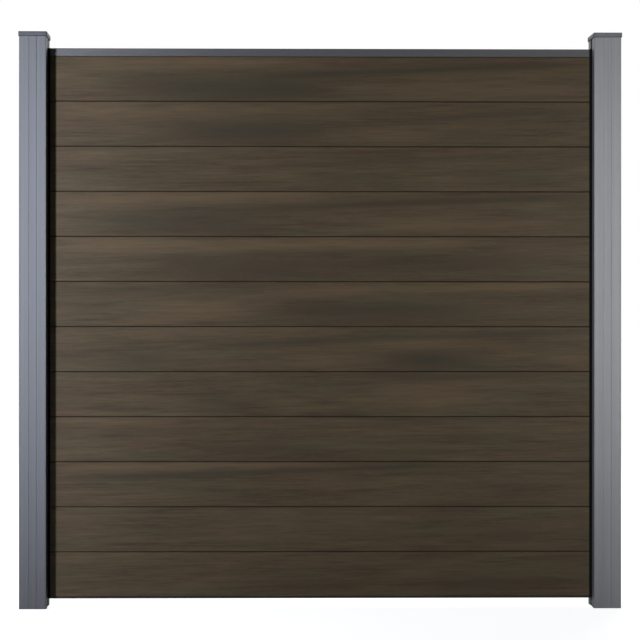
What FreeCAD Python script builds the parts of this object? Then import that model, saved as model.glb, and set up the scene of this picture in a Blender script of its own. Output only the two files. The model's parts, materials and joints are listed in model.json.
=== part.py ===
import FreeCAD, Part
import os
import Sketcher

# A slot-in fence panel: two slotted posts with caps, twelve tongue-and-groove boards on a base strip
# and a top rail.
# Millimetres, +Z up. The posts stand on z = 0, X runs along the fence and the front faces -Y.
# The origin lies on the ground midway between the posts.

CHAMBER_COUNT = 4

SIZES = {
    # Posts: square extrusions with a slot down each side and a screw port in each corner
    "post_size": 90,
    "post_length": 1904,
    "post_wall": 2,
    "post_corner_radius": 2.5,
    "slot_depth": 22,
    "port_inset": 5.5,
    "port_radius": 2.1,
    "port_boss_radius": 5,
    # Snap notches in the slot walls, which hold the slot covers
    "snap_inset": 6,
    "snap_reach": 1,
    "snap_depth": 0.8,
    # The opening between the posts, the gap under the lowest board and the least room over the rail
    "clear_width": 1815,
    "ground_gap": 34,
    "rail_headroom": 40,
    # Boards: hollow, with a tongue on top and a groove below
    "board_pitch": 150,
    "board_thickness": 20,
    "board_wall": 4.5,
    "board_web": 5,
    "board_chamfer": 2,
    "tongue_width": 8,
    "tongue_height": 10,
    "tongue_chamfer": 1.2,
    "tongue_side_fit": 0.5,
    "tongue_top_fit": 1,
    "end_gap": 2.25,
    # Base strip: a flat strip under the lowest board, with a tongue for its groove
    "strip_plate": 5,
    "strip_inset": 1,
    # Edge seals: rubber channels round the board ends
    "seal_wall": 2,
    "seal_lip": 9,
    "seal_taper": 5,
    "seal_tip": 0.8,
    "seal_fit": 0.25,
    "board_fit": 0.25,
    # Top rail: a channel whose two lips sit on the shoulders of the top board
    "rail_height": 26.5,
    "rail_wall": 2,
    "rail_edge": 0.8,
    "rail_radius": 2.4,
    # Post caps
    "cap_overhang": 2.5,
    "cap_plate": 6,
    "cap_skirt": 10,
    "cap_edge": 0.8,
    "cap_corner_radius": 2.5,
    "cap_fit": 0.3,
    "spigot_depth": 20,
    "spigot_wall": 2.4,
    # Slot covers
    "cover_recess": 0.4,
    "cover_plate": 2,
    "cover_leg_wall": 1.6,
    "cover_leg_depth": 10,
    "cover_fit": 0.3,
    # Board rests and their screws
    "rest_depth": 20,
    "rest_fit": 0.25,
    "screw_radius": 2,
    "screw_length": 27,
    "screw_tip": 3,
    "screw_head_radius": 4,
    "screw_head_height": 2.4,
    "screw_sink": 0.3,
    "screw_fit": 0.15,
}

doc = FreeCAD.newDocument("fence_panel")
sheet = doc.addObject("Spreadsheet::Sheet", "Sizes")
for row, (name, size) in enumerate(SIZES.items(), start=1):
    sheet.set(f"A{row}", name)
    sheet.set(f"B{row}", str(size))
    sheet.setAlias(f"B{row}", name)
doc.recompute()

# As many whole boards as the posts hold under the top rail
stack_room = sheet.post_length - sheet.ground_gap - sheet.rail_height - sheet.rail_headroom
BOARD_COUNT = int(stack_room // sheet.board_pitch)

# Sizes that follow from the driving ones, as expressions on the sheet
HALF_POST = "(Sizes.post_size / 2)"
POST_CENTRE = f"(Sizes.clear_width / 2 + {HALF_POST})"
SLOT_FLOOR = f"({HALF_POST} - Sizes.slot_depth)"
CORE_HALF = f"({SLOT_FLOOR} - Sizes.post_wall)"
HALF_BOARD = "(Sizes.board_thickness / 2)"
SEAL_INNER = f"({HALF_BOARD} + Sizes.board_fit)"
SEAL_OUTER = f"({SEAL_INNER} + Sizes.seal_wall)"
HALF_SLOT = f"({SEAL_OUTER} + Sizes.seal_fit)"
SNAP_MIDDLE = f"({HALF_POST} - Sizes.snap_inset)"
END_REACH = "(Sizes.slot_depth - Sizes.seal_fit - Sizes.seal_wall - Sizes.end_gap)"
BOARD_LENGTH = f"(Sizes.clear_width + 2 * {END_REACH})"
GROOVE_HALF = "(Sizes.tongue_width / 2 + Sizes.tongue_side_fit)"
GROOVE_DEPTH = "(Sizes.tongue_height + Sizes.tongue_top_fit)"
STACK_HEIGHT = f"({BOARD_COUNT} * Sizes.board_pitch)"
RAIL_SEAT = f"(Sizes.ground_gap + {STACK_HEIGHT})"
REST_FACE = f"({SLOT_FLOOR} + Sizes.rest_depth)"
REST_HEIGHT = "(Sizes.ground_gap - Sizes.strip_plate)"
SCREW_HEIGHT = f"({REST_HEIGHT} / 2)"

# The inner side of each post is +X in its own frame, so the right-hand one is turned round
SIDES = {"left": ("-", 0), "right": ("", 180)}
sub_parts = []


def new_body(label):
    body = doc.addObject("PartDesign::Body", label)
    body.Label = label
    return body


def new_sketch(body, role, name):
    sketch = body.newObject("Sketcher::SketchObject", name)
    plane = next(item for item in body.Origin.OriginFeatures if item.Role == role)
    sketch.AttachmentSupport = [(plane, "")]
    sketch.MapMode = "FlatFace"
    return sketch


def hold(sketch, kind, *where, to):
    """Hold a point or a radius of the sketch at an expression."""
    index = sketch.addConstraint(Sketcher.Constraint(kind, *where, sketch.evalExpression(to)))
    sketch.setExpression(f"Constraints[{index}]", to)


def outline(sketch, corners):
    """Draw a closed outline of straight sides; each corner is a pair of expressions."""
    first = sketch.GeometryCount
    count = len(corners)
    places = [FreeCAD.Vector(*(sketch.evalExpression(e) for e in corner), 0) for corner in corners]
    for k in range(count):
        sketch.addGeometry(Part.LineSegment(places[k], places[(k + 1) % count]), False)
    for k in range(count):
        sketch.addConstraint(Sketcher.Constraint("Coincident", first + k, 2, first + (k + 1) % count, 1))
    for k, (across, up) in enumerate(corners):
        hold(sketch, "DistanceX", -1, 1, first + k, 1, to=across)
        hold(sketch, "DistanceY", -1, 1, first + k, 1, to=up)


def rectangle(sketch, low, high):
    outline(sketch, [low, (high[0], low[1]), high, (low[0], high[1])])


def square(sketch, half):
    rectangle(sketch, (f"-{half}", f"-{half}"), (half, half))


def circle(sketch, across, up, radius):
    centre = FreeCAD.Vector(sketch.evalExpression(across), sketch.evalExpression(up), 0)
    ring = Part.Circle(centre, FreeCAD.Vector(0, 0, 1), sketch.evalExpression(radius))
    index = sketch.addGeometry(ring, False)
    hold(sketch, "DistanceX", -1, 1, index, 3, to=across)
    hold(sketch, "DistanceY", -1, 1, index, 3, to=up)
    hold(sketch, "Radius", index, to=radius)


def quarter_turns(corners):
    """Give the corners turned about the origin by 0, 90, 180 and 270 degrees."""
    for _ in range(4):
        yield corners
        corners = [(f"-({up})", across) for across, up in corners]


def add_pad(body, sketch, length, side="One side", down=False):
    pad = body.newObject("PartDesign::Pad", "pad")
    pad.Profile = sketch
    pad.SideType = side
    pad.Reversed = down
    pad.setExpression("Length", length)
    doc.recompute()
    return pad


def check_cut(body, before, name):
    doc.recompute()
    if not body.Shape.Volume < before:
        raise RuntimeError(f"{name} of {body.Label} cuts nothing")


def cut_through(body, sketch):
    """Cut the sketch through everything on its positive side."""
    before = body.Shape.Volume
    pocket = body.newObject("PartDesign::Pocket", "pocket")
    pocket.Profile = sketch
    pocket.Type = "ThroughAll"
    pocket.Reversed = True
    check_cut(body, before, sketch.Label)


def edges_where(feature, test):
    """Name the edges whose middle point passes the test."""
    edges = enumerate(feature.Shape.Edges, start=1)
    return [f"Edge{number}" for number, edge in edges if test(edge.CenterOfMass)]


def dress(body, base, kind, amount, size, test):
    """Round or chamfer the edges of a feature that pass the test."""
    dressing = body.newObject(f"PartDesign::{kind}", kind.lower())
    dressing.Base = (base, edges_where(base, test))
    dressing.setExpression(amount, size)
    doc.recompute()
    return dressing


def near(value, target):
    return abs(abs(value) - target) < 1e-6


def place(body, side=None, turn=0, height="0"):
    """Set a body on the axis of the left or right post, or on the middle of the panel."""
    sign, post_turn = SIDES.get(side, ("", 0))
    rotation = FreeCAD.Rotation(FreeCAD.Vector(0, 0, 1), post_turn + turn)
    body.Placement = FreeCAD.Placement(FreeCAD.Vector(), rotation)
    if side:
        body.setExpression("Placement.Base.x", f"{sign}{POST_CENTRE}")
    body.setExpression("Placement.Base.z", height)
    doc.recompute()


def post_side():
    """One side of the post's outline, the front one, from its left corner: the face and its slot."""
    wall = [
        (HALF_SLOT, f"-{HALF_POST}"),
        (HALF_SLOT, f"-({SNAP_MIDDLE} + Sizes.snap_reach)"),
        (f"({HALF_SLOT} + Sizes.snap_depth)", f"-{SNAP_MIDDLE}"),
        (HALF_SLOT, f"-({SNAP_MIDDLE} - Sizes.snap_reach)"),
        (HALF_SLOT, f"-{SLOT_FLOOR}"),
    ]
    left_wall = [(f"-{across}", up) for across, up in wall]
    return [(f"-{HALF_POST}", f"-{HALF_POST}")] + left_wall + wall[::-1]


def make_post(side):
    """An extruded post: four slots, a square core, four corner chambers and four screw ports."""
    body = new_body(f"{side}_post")
    section = new_sketch(body, "XY_Plane", "section")
    outline(section, [corner for turned in quarter_turns(post_side()) for corner in turned])
    square(section, CORE_HALF)
    lip = f"({HALF_SLOT} + Sizes.post_wall)"
    skin = f"({HALF_POST} - Sizes.post_wall)"
    chamber = [
        (SLOT_FLOOR, lip),
        (skin, lip),
        (skin, skin),
        (lip, skin),
        (lip, SLOT_FLOOR),
        (SLOT_FLOOR, SLOT_FLOOR),
    ]
    for turned in quarter_turns(chamber):
        outline(section, turned)
    extrusion = add_pad(body, section, "Sizes.post_length")

    corner = sheet.post_size / 2
    dress(body, extrusion, "Fillet", "Radius", "Sizes.post_corner_radius",
          lambda point: near(point.x, corner) and near(point.y, corner))

    port = f"({HALF_POST} - Sizes.port_inset)"
    bosses = new_sketch(body, "XY_Plane", "port_bosses")
    for turned in quarter_turns([(port, port)]):
        circle(bosses, *turned[0], "Sizes.port_boss_radius")
    add_pad(body, bosses, "Sizes.post_length")
    bores = new_sketch(body, "XY_Plane", "port_bores")
    for turned in quarter_turns([(port, port)]):
        circle(bores, *turned[0], "Sizes.port_radius")
    cut_through(body, bores)

    pilot = new_sketch(body, "YZ_Plane", "rest_screw_pilot")
    circle(pilot, "0", SCREW_HEIGHT, "(Sizes.screw_radius + Sizes.screw_fit)")
    cut_through(body, pilot)
    place(body, side)
    sub_parts.append(body)


def make_slot_cover(side, face, turn):
    """A strip that snaps into an unused slot, with a barb on each leg; drawn in the front slot."""
    body = new_body(f"{side}_{face}_slot_cover")
    section = new_sketch(body, "XY_Plane", "section")
    edge = f"({HALF_SLOT} - Sizes.cover_fit)"
    inside = f"({edge} - Sizes.cover_leg_wall)"
    front = f"({HALF_POST} - Sizes.cover_recess)"
    half = [
        (edge, f"-{front}"),
        (edge, f"-({SNAP_MIDDLE} + Sizes.snap_reach)"),
        (f"({edge} + Sizes.snap_depth)", f"-{SNAP_MIDDLE}"),
        (edge, f"-({SNAP_MIDDLE} - Sizes.snap_reach)"),
        (edge, f"-({front} - Sizes.cover_leg_depth)"),
        (inside, f"-({front} - Sizes.cover_leg_depth)"),
        (inside, f"-({front} - Sizes.cover_plate)"),
    ]
    outline(section, half + [(f"-{across}", up) for across, up in half[::-1]])
    add_pad(body, section, "Sizes.post_length")
    place(body, side, turn)
    sub_parts.append(body)


def screw_corners(fit="0"):
    """Half of a countersunk screw along +X from the rim of its head, or with a fit, of its hole."""
    head = f"({REST_FACE} - Sizes.screw_sink)"
    shank = f"(Sizes.screw_radius + {fit})"
    end = f"({head} - Sizes.screw_length)"
    return [
        (head, f"(Sizes.screw_head_radius + {fit})"),
        (f"({head} - Sizes.screw_head_height)", shank),
        (f"({end} + Sizes.screw_tip)", shank),
        (end, "0"),
    ]


def make_board_rest(side):
    """A block in the foot of the inner slot that carries the base strip, with a countersunk hole."""
    body = new_body(f"{side}_board_rest")
    half_width = f"({HALF_SLOT} - Sizes.rest_fit)"
    plan = new_sketch(body, "XY_Plane", "plan")
    rectangle(plan, (SLOT_FLOOR, f"-{half_width}"), (REST_FACE, half_width))
    add_pad(body, plan, REST_HEIGHT, side="Symmetric")
    before = body.Shape.Volume
    hole = new_sketch(body, "XZ_Plane", "screw_hole")
    corners = screw_corners(fit="Sizes.screw_fit")
    outline(hole, [(REST_FACE, "0"), (REST_FACE, corners[0][1])] + corners)
    groove = body.newObject("PartDesign::Groove", "groove")
    groove.Profile = hole
    groove.ReferenceAxis = (hole, ["H_Axis"])
    check_cut(body, before, "screw_hole")
    place(body, side, height=SCREW_HEIGHT)
    sub_parts.append(body)


def make_rest_screws():
    """One countersunk screw through each board rest into the floor of the post's slot."""
    screws = []
    for side in SIDES:
        body = new_body(f"{side}_rest_screw")
        profile = new_sketch(body, "XZ_Plane", "profile")
        corners = screw_corners()
        outline(profile, [(corners[0][0], "0")] + corners)
        turning = body.newObject("PartDesign::Revolution", "turning")
        turning.Profile = profile
        turning.ReferenceAxis = (profile, ["H_Axis"])
        place(body, side, height=SCREW_HEIGHT)
        screws.append(body)
    group = doc.addObject("Part::Compound", "board_rest_screws")
    group.Label = "board_rest_screws"
    group.Links = screws
    doc.recompute()
    sub_parts.append(group)


def make_edge_seal(side):
    """A rubber channel in the inner slot: its legs run out past the post and lie on the boards."""
    body = new_body(f"{side}_edge_seal")
    section = new_sketch(body, "XY_Plane", "section")
    back = f"({SLOT_FLOOR} + Sizes.seal_fit)"
    web = f"({back} + Sizes.seal_wall)"
    tip = f"({HALF_POST} + Sizes.seal_lip)"
    half = [
        (back, SEAL_OUTER),
        (f"({tip} - Sizes.seal_taper)", SEAL_OUTER),
        (tip, f"({SEAL_INNER} + Sizes.seal_tip)"),
        (tip, SEAL_INNER),
        (web, SEAL_INNER),
    ]
    outline(section, half + [(across, f"-{up}") for across, up in half[::-1]])
    add_pad(body, section, f"{STACK_HEIGHT} + Sizes.rail_height")
    place(body, side, height="Sizes.ground_gap")
    sub_parts.append(body)


def make_base_strip():
    """A strip on the two board rests: its plate carries the lowest board and its tongue fills the groove."""
    body = new_body("base_strip")
    section = new_sketch(body, "YZ_Plane", "section")
    edge = f"({HALF_BOARD} - Sizes.strip_inset)"
    tongue = "(Sizes.tongue_width / 2)"
    top = "Sizes.tongue_height"
    half = [
        (edge, "-Sizes.strip_plate"),
        (edge, "0"),
        (tongue, "0"),
        (tongue, f"({top} - Sizes.tongue_chamfer)"),
        (f"({tongue} - Sizes.tongue_chamfer)", top),
    ]
    outline(section, half + [(f"-{across}", up) for across, up in half[::-1]])
    add_pad(body, section, BOARD_LENGTH, side="Symmetric")
    place(body, height="Sizes.ground_gap")
    sub_parts.append(body)


def make_board(number):
    """A hollow composite board, extruded along X; its foot sits on the shoulders of the one below."""
    body = new_body(f"board_{number:02d}")
    section = new_sketch(body, "YZ_Plane", "section")
    inset = f"({HALF_BOARD} - Sizes.board_chamfer)"
    top = "(Sizes.board_pitch + Sizes.tongue_height)"
    tongue = "(Sizes.tongue_width / 2)"
    half = [
        (GROOVE_HALF, GROOVE_DEPTH),
        (GROOVE_HALF, "0"),
        (inset, "0"),
        (HALF_BOARD, "Sizes.board_chamfer"),
        (HALF_BOARD, "(Sizes.board_pitch - Sizes.board_chamfer)"),
        (inset, "Sizes.board_pitch"),
        (tongue, "Sizes.board_pitch"),
        (tongue, f"({top} - Sizes.tongue_chamfer)"),
        (f"({tongue} - Sizes.tongue_chamfer)", top),
    ]
    outline(section, half + [(f"-{across}", up) for across, up in half[::-1]])
    room = f"(Sizes.board_pitch - {GROOVE_DEPTH} - {CHAMBER_COUNT + 1} * Sizes.board_web)"
    chamber = f"({room} / {CHAMBER_COUNT})"
    half_chamber = f"({HALF_BOARD} - Sizes.board_wall)"
    for k in range(CHAMBER_COUNT):
        foot = f"({GROOVE_DEPTH} + Sizes.board_web + {k} * ({chamber} + Sizes.board_web))"
        rectangle(section, (f"-{half_chamber}", foot), (half_chamber, f"({foot} + {chamber})"))
    add_pad(body, section, BOARD_LENGTH, side="Symmetric")
    place(body, height=f"Sizes.ground_gap + {number - 1} * Sizes.board_pitch")
    sub_parts.append(body)


def make_top_rail():
    """An extruded channel, open below: its lips stand on the top board and the tongue goes between."""
    body = new_body("top_rail")
    section = new_sketch(body, "YZ_Plane", "section")
    inside = f"({HALF_BOARD} - Sizes.rail_wall)"
    half = [
        (inside, "(Sizes.rail_height - Sizes.rail_wall)"),
        (inside, "Sizes.rail_wall"),
        (GROOVE_HALF, "Sizes.rail_wall"),
        (GROOVE_HALF, "0"),
        (f"({HALF_BOARD} - Sizes.rail_edge)", "0"),
        (HALF_BOARD, "Sizes.rail_edge"),
        (HALF_BOARD, "Sizes.rail_height"),
    ]
    outline(section, half + [(f"-{across}", up) for across, up in half[::-1]])
    channel = add_pad(body, section, BOARD_LENGTH, side="Symmetric")
    side_face = sheet.board_thickness / 2
    dress(body, channel, "Fillet", "Radius", "Sizes.rail_radius",
          lambda point: near(point.y, side_face) and near(point.z, sheet.rail_height))
    place(body, height=RAIL_SEAT)
    sub_parts.append(body)


def make_post_cap(side):
    """A flat cap: a plate on the post's end, a skirt round the post and a square spigot in its core."""
    body = new_body(f"{side}_post_cap")
    edge = f"({HALF_POST} + Sizes.cap_overhang)"
    lid = new_sketch(body, "XY_Plane", "lid")
    square(lid, edge)
    add_pad(body, lid, "Sizes.cap_plate")
    skirt = new_sketch(body, "XY_Plane", "skirt")
    square(skirt, edge)
    square(skirt, f"({HALF_POST} + Sizes.cap_fit)")
    add_pad(body, skirt, "Sizes.cap_skirt", down=True)
    spigot = new_sketch(body, "XY_Plane", "spigot")
    spigot_half = f"({CORE_HALF} - Sizes.cap_fit)"
    square(spigot, spigot_half)
    square(spigot, f"({spigot_half} - Sizes.spigot_wall)")
    shell = add_pad(body, spigot, "Sizes.spigot_depth", down=True)

    corner = sheet.post_size / 2 + sheet.cap_overhang
    rounded = dress(body, shell, "Fillet", "Radius", "Sizes.cap_corner_radius",
                    lambda point: near(point.x, corner) and near(point.y, corner))
    dress(body, rounded, "Chamfer", "Size", "Sizes.cap_edge",
          lambda point: near(point.z, sheet.cap_plate))
    place(body, side, height="Sizes.post_length")
    sub_parts.append(body)


for side in SIDES:
    make_post(side)
    make_slot_cover(side, "front", 0 if side == "left" else 180)
    make_slot_cover(side, "rear", 180 if side == "left" else 0)
    make_slot_cover(side, "outer", -90)
    make_board_rest(side)
    make_edge_seal(side)
    make_post_cap(side)
make_rest_screws()
make_base_strip()
for number in range(1, BOARD_COUNT + 1):
    make_board(number)
make_top_rail()

doc.recompute()
for item in doc.Objects:
    if {"Invalid", "Error"} & set(item.State):
        raise RuntimeError(f"{item.Label} failed: {item.State}")
for item in sub_parts:
    if item.Shape.isNull() or not item.Shape.isValid():
        raise RuntimeError(f"{item.Label} has no valid shape")

os.makedirs("parts", exist_ok=True)
for item in sub_parts:
    item.Shape.exportStep(f"parts/{item.Label}.step")
    box = item.Shape.BoundBox
    print(f"{item.Label}: {len(item.Shape.Solids)} solid, {item.Shape.Volume / 1000:.1f} cm3, "
          f"x {box.XMin:.2f} to {box.XMax:.2f}, y {box.YMin:.2f} to {box.YMax:.2f}, "
          f"z {box.ZMin:.2f} to {box.ZMax:.2f}")
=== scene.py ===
import json
import math

import bmesh
import bpy
from mathutils import Matrix, Vector

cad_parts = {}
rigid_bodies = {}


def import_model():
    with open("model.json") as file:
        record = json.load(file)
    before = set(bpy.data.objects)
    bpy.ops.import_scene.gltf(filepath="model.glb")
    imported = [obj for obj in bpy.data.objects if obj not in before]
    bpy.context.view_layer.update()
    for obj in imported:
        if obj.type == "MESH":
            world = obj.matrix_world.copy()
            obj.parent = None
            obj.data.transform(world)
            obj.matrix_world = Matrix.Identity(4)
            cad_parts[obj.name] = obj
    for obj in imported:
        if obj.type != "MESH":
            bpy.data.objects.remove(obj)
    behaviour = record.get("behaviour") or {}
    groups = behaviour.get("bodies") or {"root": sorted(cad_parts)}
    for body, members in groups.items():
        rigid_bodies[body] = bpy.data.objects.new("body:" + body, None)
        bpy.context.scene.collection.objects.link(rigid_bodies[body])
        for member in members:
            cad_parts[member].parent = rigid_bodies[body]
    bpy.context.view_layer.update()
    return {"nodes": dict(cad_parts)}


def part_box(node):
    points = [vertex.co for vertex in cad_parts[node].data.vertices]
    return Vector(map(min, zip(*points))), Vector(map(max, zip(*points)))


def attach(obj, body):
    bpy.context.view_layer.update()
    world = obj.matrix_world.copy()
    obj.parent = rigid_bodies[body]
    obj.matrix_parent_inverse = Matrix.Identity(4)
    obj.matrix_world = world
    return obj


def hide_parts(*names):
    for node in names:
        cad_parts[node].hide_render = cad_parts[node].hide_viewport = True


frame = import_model()

# Posts: square aluminium extrusions with a slot down each side, a square core, four corner chambers
# and a screw port in each corner. They are sawn to length and left with the fine upright lines of the die,
# under a thin blue-grey satin finish.
MM = 0.001
post_low, post_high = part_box("left_post")
half_post = (post_high.x - post_low.x) / 2
post_length = post_high.z
post_wall = 2 * MM
post_corner_radius = 2.5 * MM
slot_half = 12.5 * MM
slot_floor = half_post - 22 * MM
slot_lip_radius = 0.5 * MM
snap_inset = 6 * MM
snap_reach = 1 * MM
snap_depth = 0.8 * MM
port_middle = half_post - 5.5 * MM
port_radius = 2.1 * MM
port_boss_radius = 5 * MM
SMOOTH_BELOW = math.radians(35)
MERGE_DISTANCE = 0.001 * MM


def draw(bm, points, closed=True):
    """Draw straight edges through points of the XY plane."""
    verts = [bm.verts.new((x, y, 0)) for x, y in points]
    ends = verts[1:] + verts[:1] if closed else verts[1:]
    for first, second in zip(verts, ends):
        bm.edges.new((first, second))
    return verts


def round_off(bm, radius, segments, test):
    """Round the corners of a drawn section that pass the test."""
    corners = [vert for vert in bm.verts if test(vert.co)]
    bmesh.ops.bevel(bm, geom=corners, offset=radius, offset_type="OFFSET", segments=segments,
                    profile=0.5, affect="VERTICES", material=-1)


def near(value, target):
    """Whether a coordinate lies that far from zero, on either side."""
    return abs(abs(value) - target) < MERGE_DISTANCE


def extrude_section(bm, length):
    """Fill the drawn outlines, holes left open, and extrude them along +Z into a closed solid."""
    filled = bmesh.ops.triangle_fill(bm, use_beauty=True, edges=bm.edges[:])
    faces = [item for item in filled["geom"] if isinstance(item, bmesh.types.BMFace)]
    grown = bmesh.ops.extrude_face_region(bm, geom=faces)
    far_end = [item for item in grown["geom"] if isinstance(item, bmesh.types.BMVert)]
    bmesh.ops.translate(bm, verts=far_end, vec=(0, 0, length))
    bmesh.ops.recalc_face_normals(bm, faces=bm.faces[:])


def four_sides(bm, draw_side):
    """Draw on one side of a square section and repeat it on the other three."""
    before = set(bm.verts)
    draw_side()
    verts = [vert for vert in bm.verts if vert not in before]
    edges = {edge for vert in verts for edge in vert.link_edges}
    bmesh.ops.spin(bm, geom=verts + list(edges), cent=(0, 0, 0), axis=(0, 0, 1),
                   angle=math.radians(270), steps=3, use_duplicate=True)
    bmesh.ops.remove_doubles(bm, verts=bm.verts[:], dist=MERGE_DISTANCE)


def add_piece(bm, name, body, slot, *nodes):
    """Make a smooth-shaded piece that rides on a body and stands for CAD nodes."""
    for face in bm.faces:
        face.smooth = True
    mesh = bpy.data.meshes.new(name)
    bm.to_mesh(mesh)
    bm.free()
    mesh.set_sharp_from_angle(angle=SMOOTH_BELOW)
    piece = bpy.data.objects.new(name, mesh)
    bpy.context.scene.collection.objects.link(piece)
    flat_faces = piece.modifiers.new("flat_faces", "WEIGHTED_NORMAL")
    flat_faces.keep_sharp = True
    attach(piece, body)
    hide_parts(*nodes)
    return piece


def build_post(side):
    bm = bmesh.new()
    skin = half_post - post_wall
    lip = slot_half + post_wall
    core = slot_floor - post_wall
    snap = half_post - snap_inset
    wall = [(slot_half, -half_post), (slot_half, -snap - snap_reach), (slot_half + snap_depth, -snap),
            (slot_half, -snap + snap_reach), (slot_half, -slot_floor)]
    other_wall = [(-x, y) for x, y in wall]
    corner = (half_post, -half_post)
    face_line = [(-half_post, -half_post)] + other_wall + wall[::-1] + [corner]
    four_sides(bm, lambda: draw(bm, face_line, closed=False))
    round_off(bm, post_corner_radius, 6, lambda co: near(co.x, half_post) and near(co.y, half_post))
    round_off(bm, slot_lip_radius, 3, lambda co: (near(co.x, slot_half) and near(co.y, half_post))
              or (near(co.y, slot_half) and near(co.x, half_post)))

    # The outer corner of each chamber swings round the boss of the screw port.
    boss_swing = math.acos((skin - port_middle) / port_boss_radius)
    first, last = -boss_swing, boss_swing - 1.5 * math.pi
    boss_steps = 10
    angles = [first + (last - first) * k / boss_steps for k in range(boss_steps + 1)]
    boss = [(port_middle + port_boss_radius * math.cos(a), port_middle + port_boss_radius * math.sin(a))
            for a in angles]
    chamber = [(lip, skin), (lip, slot_floor), (slot_floor, slot_floor), (slot_floor, lip), (skin, lip)]
    four_sides(bm, lambda: draw(bm, chamber + boss))
    draw(bm, [(-core, -core), (core, -core), (core, core), (-core, core)])
    four_sides(bm, lambda: bmesh.ops.create_circle(
        bm, segments=16, radius=port_radius, matrix=Matrix.Translation((port_middle, port_middle, 0))))
    extrude_section(bm, post_length)

    low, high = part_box(f"{side}_post")
    bmesh.ops.translate(bm, verts=bm.verts[:], vec=((low.x + high.x) / 2, 0, 0))
    return add_piece(bm, f"{side}_post_extrusion", "fence", "post_aluminium", f"{side}_post")


class Wire:
    """An output of a shader node. Arithmetic on wires and numbers adds Math nodes."""

    def __init__(self, socket):
        self.socket = socket

    def node(self, kind, settings=None, inputs=None, output=0):
        """Add a node, set it up, fill or link its inputs and give one of its outputs."""
        tree = self.socket.id_data
        made = tree.nodes.new(kind)
        for name, value in (settings or {}).items():
            if name == "stops":
                while len(made.color_ramp.elements) < len(value):
                    made.color_ramp.elements.new(1)
                for stop, (position, colour) in zip(made.color_ramp.elements, value):
                    stop.position = position
                    stop.color = (*colour, 1)
            else:
                setattr(made, name, value)
        for name, value in (inputs or {}).items():
            fill_socket(made.inputs[name], value)
        return Wire(made.outputs[output])

    def math(self, operation, *values):
        return self.node("ShaderNodeMath", {"operation": operation}, dict(enumerate(values)))

    def __add__(self, other):
        return self.math("ADD", self, other)

    __radd__ = __add__

    def __sub__(self, other):
        return self.math("SUBTRACT", self, other)

    def __rsub__(self, other):
        return self.math("SUBTRACT", other, self)

    def __mul__(self, other):
        return self.math("MULTIPLY", self, other)

    __rmul__ = __mul__

    def __truediv__(self, other):
        return self.math("DIVIDE", self, other)

    def parts(self, kind):
        """The three outputs of a Separate node."""
        first = self.node(kind, None, {0: self})
        return [Wire(output) for output in first.socket.node.outputs[:3]]

    def at_most(self, limit):
        return self.math("MINIMUM", self, limit)

    def mapped(self, start, end, low, high):
        """This value carried from one range to another, and held at its ends."""
        return self.node("ShaderNodeMapRange", None, {"Value": self, 1: start, 2: end, 3: low, 4: high})

    def times(self, factors):
        """This colour or place times another, channel by channel."""
        return self.node("ShaderNodeVectorMath", {"operation": "MULTIPLY"}, {0: self, 1: factors})

    def stretched(self, x, y, z):
        """This place with each axis scaled, so that a pattern gets that many features a metre."""
        return self.times((x, y, z))

    def noise(self, detail=2.0, roughness=0.5):
        inputs = {"Vector": self, "Scale": 1.0, "Detail": detail, "Roughness": roughness}
        return self.node("ShaderNodeTexNoise", None, inputs)

    def ramp(self, *stops):
        return self.node("ShaderNodeValToRGB", {"stops": stops}, {"Fac": self})

    def blend(self, low, high):
        """Mix two colours by this factor."""
        return self.node("ShaderNodeMix", {"data_type": "RGBA"},
                         {"Factor": self, 6: as_colour(low), 7: as_colour(high)}, output=2)

    def bump(self, distance, strength=1.0):
        inputs = {"Height": self, "Distance": distance, "Strength": strength}
        return self.node("ShaderNodeBump", None, inputs)


def grey(level):
    return (level, level, level)


def as_colour(value):
    return value if isinstance(value, Wire) else (*value, 1)


def fill_socket(socket, value):
    if isinstance(value, Wire):
        socket.id_data.links.new(value.socket, socket)
    else:
        socket.default_value = value


def new_material(name):
    """A material and the wire of its Object coordinates."""
    material = bpy.data.materials.new(name)
    material.use_nodes = True
    place = material.node_tree.nodes.new("ShaderNodeTexCoord").outputs["Object"]
    return material, Wire(place)


def coat(material, **values):
    """Fill the shader's sockets, named with underscores for spaces."""
    shader = material.node_tree.nodes["Principled BSDF"]
    for name, value in values.items():
        socket = shader.inputs[name.replace("_", " ")]
        fill_socket(socket, value)


def extruded_metal(name, dark, light, along, metallic, roughness):
    """Satin aluminium with the die's fine lines along one axis, and broader faint bands."""
    material, place = new_material(name)
    axis = "xyz".index(along)
    line_rates = [700, 700, 700]
    band_rates = [140, 140, 140]
    line_rates[axis] = 1.5
    band_rates[axis] = 0.4
    lines = place.stretched(*line_rates).noise(detail=3)
    bands = place.stretched(*band_rates).noise(detail=2)
    coat(material, Base_Color=(bands * 0.7 + lines * 0.3).ramp((0.3, dark), (0.7, light)),
         Metallic=metallic, Roughness=roughness + (lines - 0.5) * 0.1, Normal=lines.bump(0.05 * MM, 0.5))
    return material


post_shades = (0.19, 0.194, 0.197), (0.228, 0.233, 0.236)
post_metallic = 0.9
post_roughness = 0.56
post_metal = extruded_metal("post_satin_aluminium", *post_shades, "z", post_metallic, post_roughness)
for side in ("left", "right"):
    build_post(side).data.materials.append(post_metal)

# Slot covers: thin aluminium strips that snap into the three unused slots of each post. They are extruded
# from the same alloy as the post, sit a hair below its face and leave a fine line along each edge.
cover_gap = 0.3 * MM
cover_recess = 0.4 * MM
cover_plate = 2 * MM
cover_leg_wall = 1.6 * MM
cover_leg_depth = 10 * MM
cover_edge_radius = 0.4 * MM


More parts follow.
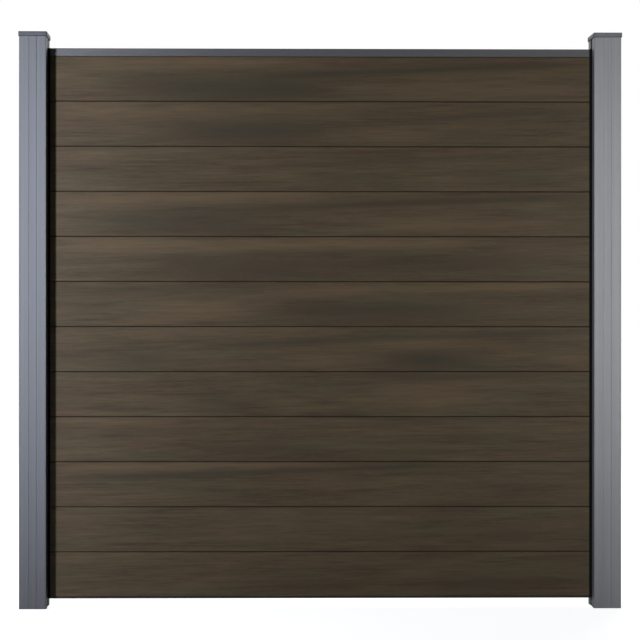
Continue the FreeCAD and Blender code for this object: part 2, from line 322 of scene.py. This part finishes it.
def build_slot_cover(side, face, turn):
    bm = bmesh.new()
    edge = slot_half - cover_gap
    inside = edge - cover_leg_wall
    front = half_post - cover_recess
    snap = half_post - snap_inset
    half = [(edge, -front), (edge, -snap - snap_reach), (edge + snap_depth, -snap),
            (edge, -snap + snap_reach), (edge, cover_leg_depth - front),
            (inside, cover_leg_depth - front), (inside, cover_plate - front)]
    draw(bm, half + [(-x, y) for x, y in half[::-1]])
    round_off(bm, cover_edge_radius, 3, lambda co: near(co.x, edge) and near(co.y, front))
    extrude_section(bm, post_length)
    about_z = Matrix.Rotation(math.radians(turn), 3, "Z")
    bmesh.ops.rotate(bm, verts=bm.verts[:], cent=(0, 0, 0), matrix=about_z)
    low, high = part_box(f"{side}_post")
    bmesh.ops.translate(bm, verts=bm.verts[:], vec=((low.x + high.x) / 2, 0, 0))
    node = f"{side}_{face}_slot_cover"
    return add_piece(bm, f"{node}_strip", "fence", "cover_aluminium", node)


cover_metal = extruded_metal("cover_satin_aluminium", *post_shades, "z", post_metallic, post_roughness)
for side, outward in (("left", -90), ("right", 90)):
    for face, turn in (("front", 0), ("rear", 180), ("outer", outward)):
        build_slot_cover(side, face, turn).data.materials.append(cover_metal)

# Board rests and their screws: a moulded plastic block in the foot of each inner slot carries the lowest
# board, held to the floor of the slot by one countersunk stainless screw.
rest_plastic, place = new_material("rest_black_plastic")
grain = place.stretched(1800, 1800, 1800).noise(detail=2)
coat(rest_plastic, Base_Color=grain.ramp((0.3, (0.012, 0.012, 0.013)), (0.7, (0.02, 0.02, 0.021))),
     Roughness=0.5 + grain * 0.2, Normal=grain.bump(0.1 * MM, 0.4))
for side in ("left", "right"):
    frame["nodes"][f"{side}_board_rest"].data.materials.clear()
    frame["nodes"][f"{side}_board_rest"].data.materials.append(rest_plastic)

screw_steel, place = new_material("screw_stainless_steel")
turning = place.stretched(4000, 300, 300).noise(detail=2)
coat(screw_steel, Base_Color=turning.ramp((0.3, (0.45, 0.45, 0.46)), (0.7, (0.6, 0.6, 0.61))), Metallic=1.0,
     Roughness=0.25 + turning * 0.15)
frame["nodes"]["board_rest_screws"].data.materials.clear()
frame["nodes"]["board_rest_screws"].data.materials.append(screw_steel)

# Base strip: a strip of the same black plastic on the two rests, extruded with a tongue that fills the
# groove of the lowest board, so that the board stands on it along its whole length.
strip_low, strip_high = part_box("base_strip")
strip_plate = 5 * MM
strip_edge_radius = 0.6 * MM
tongue_half = 4 * MM
tongue_chamfer = 1.2 * MM
LENGTHWISE = Matrix(((0, 0, 1), (1, 0, 0), (0, 1, 0)))


def build_base_strip():
    bm = bmesh.new()
    top = strip_high.z - strip_low.z
    edge = strip_high.y
    half = [(edge, 0), (edge, strip_plate), (tongue_half, strip_plate), (tongue_half, top - tongue_chamfer),
            (tongue_half - tongue_chamfer, top)]
    draw(bm, half + [(-x, y) for x, y in half[::-1]])
    round_off(bm, strip_edge_radius, 3, lambda co: near(co.x, edge))
    extrude_section(bm, strip_high.x - strip_low.x)
    bmesh.ops.rotate(bm, verts=bm.verts[:], cent=(0, 0, 0), matrix=LENGTHWISE)
    bmesh.ops.translate(bm, verts=bm.verts[:], vec=(strip_low.x, 0, strip_low.z))
    return add_piece(bm, "base_strip_extrusion", "fence", "rest_plastic", "base_strip")


build_base_strip().data.materials.append(rest_plastic)

# Edge seals: black rubber channels pushed into the inner slots. They wrap the board ends, and their two
# thin lips run out past the post and lie against the boards.
seal_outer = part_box("left_edge_seal")[1].y
seal_wall = 2 * MM
seal_inner = seal_outer - seal_wall
seal_taper = 5 * MM
seal_tip = 0.8 * MM
seal_edge_radius = 0.35 * MM


def build_edge_seal(side, facing):
    low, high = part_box(f"{side}_edge_seal")
    back, tip = (low.x, high.x) if facing > 0 else (high.x, low.x)
    half = [(back, seal_outer), (tip - facing * seal_taper, seal_outer), (tip, seal_inner + seal_tip),
            (tip, seal_inner), (back + facing * seal_wall, seal_inner)]
    bm = bmesh.new()
    draw(bm, half + [(x, -y) for x, y in half[::-1]])
    round_off(bm, seal_edge_radius, 3, lambda co: near(co.x, abs(tip)) or near(co.y, seal_outer))
    extrude_section(bm, high.z - low.z)
    bmesh.ops.translate(bm, verts=bm.verts[:], vec=(0, 0, low.z))
    node = f"{side}_edge_seal"
    return add_piece(bm, f"{node}_strip", "fence", "seal_rubber", node)


seal_rubber, place = new_material("seal_black_rubber")
mottle = place.stretched(300, 300, 6).noise(detail=3)
coat(seal_rubber, Base_Color=mottle.ramp((0.3, grey(0.006)), (0.7, grey(0.011))),
     Roughness=0.7 + mottle * 0.2, Normal=mottle.bump(0.1 * MM, 0.4), Specular_IOR_Level=0.05)
for side, facing in (("left", 1), ("right", -1)):
    build_edge_seal(side, facing).data.materials.append(seal_rubber)

# Boards: hollow tongue-and-groove planks of wood-plastic composite, extruded with streaks of darker and
# paler pigment, brushed lengthwise and stacked one on another between the posts. The chamfered long edges
# are painted darker, which is painted shade for the V at each joint.
board_names = sorted(name for name in frame["nodes"] if name.startswith("board_") and name[-1].isdigit())
board_low, board_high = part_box(board_names[0])
board_length = board_high.x - board_low.x
half_board = board_high.y
board_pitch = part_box(board_names[1])[0].z - board_low.z
board_wall = 4.5 * MM
board_web = 5 * MM
board_chamfer = 2 * MM
board_edge_radius = 0.5 * MM
chamber_count = 4
tongue_height = board_high.z - board_low.z - board_pitch
tongue_side_fit = 0.5 * MM
tongue_top_fit = 1 * MM
groove_half = tongue_half + tongue_side_fit
groove_depth = tongue_height + tongue_top_fit
face_strips = 20
length_steps = 74
stain_taper = 0.24
rear_stain_shift = 5

# The larger stains on the front of each board, from the lowest board up: kind, start and end along X in
# metres, height at both ends and half thickness as shares of the board's face, and strength.
DARK, TAN = 0, 1
STAINS = [
    [(TAN, -0.95, -0.35, 0.85, 0.92, 0.06, 0.4), (DARK, 0.25, 0.9, 0.25, 0.28, 0.17, 0.45),
     (DARK, -0.4, 0.2, 0.3, 0.25, 0.15, 0.25), (TAN, 0.25, 0.6, 0.72, 0.76, 0.08, 0.35)],
    [(TAN, -0.45, 0.4, 0.5, 0.5, 0.3, 0.25), (DARK, 0.4, 0.9, 0.4, 0.35, 0.2, 0.4),
     (TAN, -0.95, -0.45, 0.93, 0.96, 0.05, 0.4)],
    [(TAN, -0.95, 0.15, 0.85, 0.97, 0.1, 0.5), (DARK, -0.9, 0.55, 0.62, 0.95, 0.05, 0.75),
     (DARK, 0.45, 0.85, 0.3, 0.25, 0.2, 0.4), (DARK, -0.55, -0.15, 0.3, 0.3, 0.2, 0.2)],
    [(TAN, -0.95, -0.45, 0.85, 0.9, 0.12, 0.5), (DARK, -0.8, -0.2, 0.66, 0.76, 0.05, 0.4),
     (DARK, -0.5, 0.15, 0.3, 0.25, 0.2, 0.3), (TAN, -0.15, 0.45, 0.6, 0.65, 0.2, 0.25),
     (DARK, 0.25, 0.85, 0.5, 0.62, 0.07, 0.3)],
    [(DARK, -0.55, -0.1, 0.35, 0.25, 0.22, 0.45), (TAN, -0.25, 0.08, 0.25, 0.25, 0.18, 0.6),
     (TAN, -0.02, 0.65, 0.4, 0.45, 0.28, 0.55), (DARK, -0.15, 0.7, 0.65, 0.93, 0.07, 0.4),
     (DARK, 0.05, 0.9, 0.9, 0.92, 0.1, 0.4)],
    [(TAN, -0.8, 0.15, 0.88, 0.92, 0.12, 0.4), (DARK, -0.8, -0.4, 0.25, 0.25, 0.2, 0.6),
     (DARK, -0.45, 0.98, 0.55, 0.93, 0.06, 0.7), (TAN, -0.25, 0.25, 0.25, 0.25, 0.2, 0.7),
     (TAN, 0.0, 0.6, 0.6, 0.65, 0.12, 0.5), (DARK, 0.1, 0.63, 0.27, 0.27, 0.22, 0.85)],
    [(DARK, -0.9, -0.25, 0.78, 0.88, 0.08, 0.45), (TAN, -0.7, -0.1, 0.35, 0.4, 0.28, 0.6),
     (TAN, -0.25, 0.98, 0.72, 0.95, 0.09, 0.7), (DARK, -0.25, 0.65, 0.28, 0.34, 0.26, 0.55)],
    [(TAN, -0.95, 0.6, 0.72, 0.9, 0.14, 0.8), (DARK, -0.65, 0.15, 0.3, 0.3, 0.3, 0.55),
     (DARK, -0.05, 0.85, 0.35, 0.45, 0.22, 0.45), (DARK, -0.3, 0.35, 0.6, 0.72, 0.04, 0.5)],
    [(TAN, -0.95, 0.15, 0.8, 0.92, 0.16, 0.65), (DARK, -0.87, -0.1, 0.35, 0.28, 0.28, 0.55),
     (DARK, -0.35, 0.98, 0.58, 0.93, 0.08, 0.7), (TAN, -0.02, 0.65, 0.25, 0.3, 0.2, 0.6)],
    [(TAN, -0.27, 0.07, 0.28, 0.28, 0.2, 0.5), (TAN, 0.23, 0.6, 0.3, 0.32, 0.17, 0.6),
     (DARK, -0.35, 0.95, 0.5, 0.9, 0.07, 0.35), (DARK, 0.5, 0.8, 0.3, 0.3, 0.18, 0.35),
     (TAN, -0.95, -0.15, 0.85, 0.92, 0.1, 0.35)],
    [(TAN, -0.95, 0.25, 0.75, 0.85, 0.15, 0.5), (DARK, -0.65, 0.08, 0.35, 0.32, 0.28, 0.65),
     (TAN, 0.0, 0.47, 0.25, 0.25, 0.22, 0.6), (DARK, 0.2, 0.98, 0.55, 0.85, 0.07, 0.5)],
    [(TAN, -0.95, 0.1, 0.8, 0.92, 0.16, 0.6), (DARK, -0.75, 0.12, 0.3, 0.3, 0.28, 0.8),
     (DARK, -0.25, 0.96, 0.55, 0.86, 0.07, 0.8), (TAN, 0.0, 0.98, 0.25, 0.28, 0.24, 0.5)],
]


def stain_levels(stains, along, height):
    """How dark and how tan the stains make a point of a board's face."""
    levels = [0, 0]
    for kind, start, end, height_start, height_end, half_thickness, strength in stains:
        middle = height_start + (height_end - height_start) * (along - start) / (end - start)
        length_fade = min(max((along - start) / stain_taper, 0), max((end - along) / stain_taper, 0), 1)
        across_fade = math.exp(-((height - middle) / half_thickness) ** 2)
        levels[kind] += strength * length_fade * across_fade
    return levels


def paint_stains(mesh, index, foot):
    """Keep the stains of both faces in a colour attribute: dark, tan, and 1 on the painted-shade chamfers.
    """
    layer = mesh.color_attributes.new("stain", "FLOAT_COLOR", "POINT")
    for vert, entry in zip(mesh.vertices, layer.data):
        x, y, z = vert.co
        height = (z - foot) / board_pitch
        if y < 0:
            dark, tan = stain_levels(STAINS[index], x, height)
        else:
            dark, tan = stain_levels(STAINS[(index + rear_stain_shift) % len(STAINS)], -x, height)
        entry.color = (dark, tan, 0 if near(y, half_board) else 1, 1)


def build_board(index, name):
    bm = bmesh.new()
    joint_half = half_board - board_chamfer
    top = board_pitch + tongue_height
    face = board_pitch - 2 * board_chamfer
    strips = [(half_board, board_chamfer + face * k / face_strips) for k in range(face_strips + 1)]
    half = [(groove_half, groove_depth), (groove_half, 0), (joint_half, 0)] + strips + [
        (joint_half, board_pitch), (tongue_half, board_pitch), (tongue_half, top - tongue_chamfer),
        (tongue_half - tongue_chamfer, top)]
    draw(bm, half + [(-x, y) for x, y in half[::-1]])
    round_off(bm, board_edge_radius, 3, lambda co: near(co.x, half_board) and (
        near(co.y, board_chamfer) or near(co.y, board_pitch - board_chamfer)))
    chamber_half = half_board - board_wall
    room = board_pitch - groove_depth - (chamber_count + 1) * board_web
    for k in range(chamber_count):
        foot = groove_depth + board_web + k * (room / chamber_count + board_web)
        head = foot + room / chamber_count
        draw(bm, [(-chamber_half, foot), (chamber_half, foot), (chamber_half, head), (-chamber_half, head)])
    extrude_section(bm, board_length)
    for k in range(1, length_steps):
        bmesh.ops.bisect_plane(bm, geom=bm.verts[:] + bm.edges[:] + bm.faces[:], dist=MERGE_DISTANCE,
                               plane_co=(0, 0, board_length * k / length_steps), plane_no=(0, 0, 1))
    bmesh.ops.rotate(bm, verts=bm.verts[:], cent=(0, 0, 0), matrix=LENGTHWISE)
    bmesh.ops.translate(bm, verts=bm.verts[:], vec=(-board_length / 2, 0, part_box(name)[0].z))
    board = add_piece(bm, f"{name}_plank", "fence", "board_composite", name)
    paint_stains(board.data, index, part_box(name)[0].z)
    return board


board_composite, place = new_material("board_brown_composite")
grain_slant = 0.012
grain_shift_along = 3.7
grain_shift_up = 7.31
# How much darker the chamfers are painted: painted shade in the V joints between boards.
painted_joint_shade = 0.55
dark_stain = (0.042, 0.0345, 0.0182)
tan_stain = (0.13, 0.0875, 0.041)
along, across, up = place.parts("ShaderNodeSeparateXYZ")
shelf = (up - board_low.z) / board_pitch
step = shelf.math("FLOOR", shelf)
drift = along + step * grain_shift_along
rise = up - along * grain_slant + step * grain_shift_up
flow = place.node("ShaderNodeCombineXYZ", None, {"X": drift, "Y": across, "Z": rise})
patches = flow.stretched(2.0, 3, 22).noise(detail=2)
streaks = flow.stretched(2.2, 4, 60).noise(detail=3, roughness=0.6)
lines = flow.stretched(8, 8, 190).noise(detail=3, roughness=0.6)
flecks = flow.stretched(45, 60, 400).noise(detail=2)
tint = flow.stretched(2.5, 3, 12).noise(detail=2)
tone = patches * 0.26 + streaks * 0.26 + lines * 0.34 + flecks * 0.14
plain = tone.ramp((0.38, (0.0507, 0.0343, 0.016)), (0.5, (0.0785, 0.0538, 0.0255)),
                  (0.62, (0.1086, 0.0755, 0.0367)))
plain = plain.times(tint.ramp((0.35, (0.92, 1.0, 1.0)), (0.65, (1.08, 1.0, 1.0))))
stain = place.node("ShaderNodeAttribute", {"attribute_name": "stain"})
dark, tan, edge = stain.parts("ShaderNodeSeparateColor")
broken = streaks * 1.2 + lines * 1.6 - 0.4
colour = (dark * broken).at_most(1).blend(plain, dark_stain)
colour = (tan * broken).at_most(1).blend(colour, tan_stain)
# Painted shade: the chamfers are darkened to show the shade that falls in the V at each joint.
colour = colour.times(1 - edge * painted_joint_shade)
coat(board_composite, Base_Color=colour, Roughness=0.56 + flecks * 0.1, Normal=flecks.bump(0.15 * MM, 0.6),
     Specular_IOR_Level=0.3)
for index, name in enumerate(board_names):
    build_board(index, name).data.materials.append(board_composite)

# Top rail: an aluminium channel, open below, that covers the tongue of the top board and drops into the
# slots with it. It is extruded, so its fine lines run along its length.
rail_low, rail_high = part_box("top_rail")
rail_wall = 2 * MM
rail_edge = 0.8 * MM
rail_radius = 2.4 * MM
rail_height = rail_high.z - rail_low.z
half_rail = rail_high.y
rail_shades = (0.108, 0.107, 0.103), (0.134, 0.133, 0.128)
rail_metallic = 0.2
rail_roughness = 0.55


def build_top_rail():
    bm = bmesh.new()
    inside = half_rail - rail_wall
    half = [(inside, rail_height - rail_wall), (inside, rail_wall), (groove_half, rail_wall),
            (groove_half, 0), (half_rail - rail_edge, 0), (half_rail, rail_edge), (half_rail, rail_height)]
    draw(bm, half + [(-x, y) for x, y in half[::-1]])
    round_off(bm, rail_radius, 5, lambda co: near(co.x, half_rail) and near(co.y, rail_height))
    extrude_section(bm, rail_high.x - rail_low.x)
    bmesh.ops.rotate(bm, verts=bm.verts[:], cent=(0, 0, 0), matrix=LENGTHWISE)
    bmesh.ops.translate(bm, verts=bm.verts[:], vec=(rail_low.x, 0, rail_low.z))
    return add_piece(bm, "top_rail_channel", "rail", "rail_aluminium", "top_rail")


rail_metal = extruded_metal("rail_satin_aluminium", *rail_shades, "x", rail_metallic, rail_roughness)
coat(rail_metal, Specular_IOR_Level=0.2)
top_rail = build_top_rail()
top_rail.data.materials.append(rail_metal)

# Post caps: flat square caps of cast aluminium, powder coated darker than the posts. A skirt goes round the
# end of the post and a square spigot pushes into its core.
cap_low, cap_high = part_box("left_post_cap")
half_cap = (cap_high.x - cap_low.x) / 2
cap_plate = cap_high.z - post_length
cap_skirt = 10 * MM
cap_edge = 0.8 * MM
cap_corner_radius = 2.5 * MM
cap_clearance = 0.3 * MM
spigot_depth = post_length - cap_low.z
spigot_wall = 2.4 * MM


def move_faces(bm, faces, rise):
    """Extrude faces of a solid along Z, drop the old ones and give the moved ones."""
    grown = bmesh.ops.extrude_face_region(bm, geom=faces)["geom"]
    bmesh.ops.delete(bm, geom=faces, context="FACES")
    verts = [item for item in grown if isinstance(item, bmesh.types.BMVert)]
    bmesh.ops.translate(bm, verts=verts, vec=(0, 0, rise))
    return [item for item in grown if isinstance(item, bmesh.types.BMFace)]


def inset(bm, faces, thickness):
    """Inset faces and give the ring that the inset adds."""
    return bmesh.ops.inset_region(bm, faces=faces, thickness=thickness, use_even_offset=True,
                                  use_boundary=True)["faces"]


def bevel_edges(bm, radius, segments, test):
    """Round the straight edges whose two ends both pass the test."""
    edges = [edge for edge in bm.edges if all(test(vert.co) for vert in edge.verts)]
    bmesh.ops.bevel(bm, geom=edges, offset=radius, offset_type="OFFSET", segments=segments,
                    profile=0.5, affect="EDGES", material=-1, clamp_overlap=True)


def build_post_cap(side):
    bm = bmesh.new()
    height = cap_plate + cap_skirt
    skirt_inside = half_post + cap_clearance
    spigot_half = slot_floor - post_wall - cap_clearance
    bmesh.ops.create_cube(bm, size=1, matrix=Matrix.Diagonal((2 * half_cap, 2 * half_cap, height, 1)))
    underside = [face for face in bm.faces if face.normal.z < -0.5]
    inset(bm, underside, half_cap - skirt_inside)
    ceiling = move_faces(bm, underside, cap_skirt)
    inset(bm, ceiling, skirt_inside - spigot_half)
    spigot = inset(bm, ceiling, spigot_wall)
    move_faces(bm, spigot, -spigot_depth)
    upright = [edge for edge in bm.edges if all(near(v.co.x, half_cap) and near(v.co.y, half_cap)
                                                for v in edge.verts)]
    bmesh.ops.bevel(bm, geom=upright, offset=cap_corner_radius, offset_type="OFFSET", segments=6,
                    profile=0.5, affect="EDGES", material=-1)
    bevel_edges(bm, cap_edge, 3, lambda co: near(co.z - height / 2, 0))
    bmesh.ops.recalc_face_normals(bm, faces=bm.faces[:])
    low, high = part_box(f"{side}_post_cap")
    bmesh.ops.translate(bm, verts=bm.verts[:], vec=((low.x + high.x) / 2, 0, high.z - height / 2))
    node = f"{side}_post_cap"
    return add_piece(bm, f"{node}_casting", f"{side}_cap", "cap_aluminium", node)


cap_coat, place = new_material("cap_powder_coat")
speckle = place.stretched(1500, 1500, 1500).noise(detail=2)
cloud = place.stretched(40, 40, 40).noise(detail=2)
shade = (speckle * 0.5 + cloud * 0.5).ramp((0.35, (0.09, 0.092, 0.095)), (0.65, (0.118, 0.12, 0.123)))
coat(cap_coat, Base_Color=shade, Metallic=0.8, Roughness=0.45 + speckle * 0.1,
     Normal=speckle.bump(0.05 * MM, 0.4))
for side in ("left", "right"):
    build_post_cap(side).data.materials.append(cap_coat)

# Studio: a pale floor and a white backdrop, with a key lamp at the left front that spares the left post, a
# weak fill at the right front and a broad lamp behind. Each post has a strip lamp of its own and the rail a
# narrow beam. The room in front is dim, so that the metal shades off downwards.
floor_reach = 60
floor_glow = 0.86
floor_sheen = 0.1
floor_mesh = bpy.data.meshes.new("floor")
bm = bmesh.new()
bmesh.ops.create_grid(bm, x_segments=1, y_segments=1, size=floor_reach)
bm.to_mesh(floor_mesh)
bm.free()
floor = bpy.data.objects.new("floor", floor_mesh)
bpy.context.scene.collection.objects.link(floor)


def ray_kinds(wire):
    """Whether a ray leads to the camera, straight or through glass, and whether it is a glossy one."""
    straight = wire.node("ShaderNodeLightPath")
    outputs = straight.socket.node.outputs
    through_glass = Wire(outputs["Is Transmission Ray"])
    return straight.math("MAXIMUM", straight, through_glass), Wire(outputs["Is Glossy Ray"])


# The floor glows white to the camera, a little less near the fence, where its shadow shows.
floor_paper, place = new_material("floor_white_paper")
paper = place.stretched(40, 40, 40).noise(detail=2)
seen, glossy = ray_kinds(place)
away = place.node("ShaderNodeVectorMath", {"operation": "LENGTH"}, {0: place}, output="Value")
glow = seen * (away.mapped(1.2, 3.0, 0.0, 1 - floor_glow) + floor_glow) + glossy * floor_sheen
coat(floor_paper, Base_Color=paper.ramp((0.3, grey(0.38)), (0.7, grey(0.4))), Roughness=0.9,
     Specular_IOR_Level=0.0, Emission_Color=glow.blend(grey(0), grey(1)), Emission_Strength=1.0)
floor.data.materials.append(floor_paper)


def add_light(name, size, power, colour, place, aim, spread=180):
    """An area lamp of some width and height, in metres and watts, with the angle of its beam in degrees."""
    light = bpy.data.lights.new(name, "AREA")
    light.shape = "RECTANGLE"
    light.size, light.size_y = size
    light.energy = power
    light.color = colour
    light.spread = math.radians(spread)
    lamp = bpy.data.objects.new(name, light)
    lamp.location = place
    lamp.rotation_euler = (Vector(aim) - Vector(place)).to_track_quat("-Z", "Y").to_euler()
    bpy.context.scene.collection.objects.link(lamp)
    return lamp


def tie_light(lamp, pieces, state):
    """Light only these pieces with a lamp, or keep the lamp off them."""
    group = bpy.data.collections.new(lamp.name + "_pieces")
    for piece in pieces:
        group.objects.link(piece)
    for row in group.collection_objects:
        row.light_linking.link_state = state
    lamp.light_linking.receiver_collection = group


post_pieces = ("post_extrusion", "post_cap_casting", "front_slot_cover_strip", "rear_slot_cover_strip",
               "outer_slot_cover_strip")
left_metal = [bpy.data.objects[f"left_{name}"] for name in post_pieces]
right_metal = [bpy.data.objects[f"right_{name}"] for name in post_pieces]
key_size = (0.25, 1.1)
key_tint = (0.945, 1.0, 1.19)
key_place = (-2.53, -1.95, 1.5)
strip_size = (0.35, 2.2)
strip_tint = (1.0, 1.0, 1.08)
soft_spread = 60
beam_spread = 18
key = add_light("key", key_size, 91, key_tint, key_place, aim=(-0.6, 0, 1.3))
tie_light(key, left_metal, "EXCLUDE")
left_strip = add_light("left_strip", strip_size, 8.1, key_tint, (-1.62, -3.0, 1.5), aim=(-1.3, 0, 1.4),
                       spread=soft_spread)
tie_light(left_strip, left_metal, "INCLUDE")
rail_beam = add_light("rail_beam", key_size, 0.72, key_tint, key_place, aim=(-0.9, 0, 1.87),
                      spread=beam_spread)
tie_light(rail_beam, [top_rail], "INCLUDE")
add_light("fill", (0.4, 2.0), 5.6, grey(1), (1.62, -3.0, 1.27), aim=(1.46, 0, 1.12), spread=soft_spread)
right_strip = add_light("right_strip", strip_size, 2.25, strip_tint, (1.62, -3.0, 1.5), aim=(1.3, 0, 1.4),
                        spread=soft_spread)
tie_light(right_strip, right_metal, "INCLUDE")
add_light("rear", (3.6, 3.6), 200, grey(1), (0.6, 2.6, 4.2), aim=(0, 0, 0.9))

world = bpy.data.worlds.new("studio")
world.use_nodes = True
bpy.context.scene.world = world
direction = Wire(world.node_tree.nodes.new("ShaderNodeTexCoord").outputs["Generated"])
seen, glossy = ray_kinds(direction)
backward, upward = direction.parts("ShaderNodeSeparateXYZ")[1:]
front = upward.ramp((0.0, grey(0.03)), (0.1, grey(0.09)), (0.5, grey(0.15)))
screen = upward.ramp((0.05, grey(0.35)), (0.6, grey(1)))
mirrored = backward.mapped(0.3, 0.9, 0.0, 1.0).blend(front, screen)
room = glossy.blend(grey(0.02), mirrored)
background = world.node_tree.nodes["Background"]
fill_socket(background.inputs["Color"], seen.blend(room, grey(1)))

camera_distance = 5.15
frame_width = 2.1178
camera_side = -0.235
camera_height = 0.956
camera_turn = math.radians(0.64)
camera_roll = math.radians(-0.02)
frame_nudge = -0.0012
camera_data = bpy.data.cameras.new("camera")
camera_data.sensor_width = 36
camera_data.lens = camera_data.sensor_width * camera_distance / frame_width
camera_data.shift_x = frame_nudge - (camera_side + camera_turn * camera_distance) / frame_width
camera = bpy.data.objects.new("camera", camera_data)
camera.location = (camera_side, post_low.y - camera_distance, camera_height)
camera.rotation_euler = (math.radians(90), camera_roll, -camera_turn)
bpy.context.scene.collection.objects.link(camera)
bpy.context.scene.camera = camera
bpy.context.scene.view_settings.view_transform = "Standard"
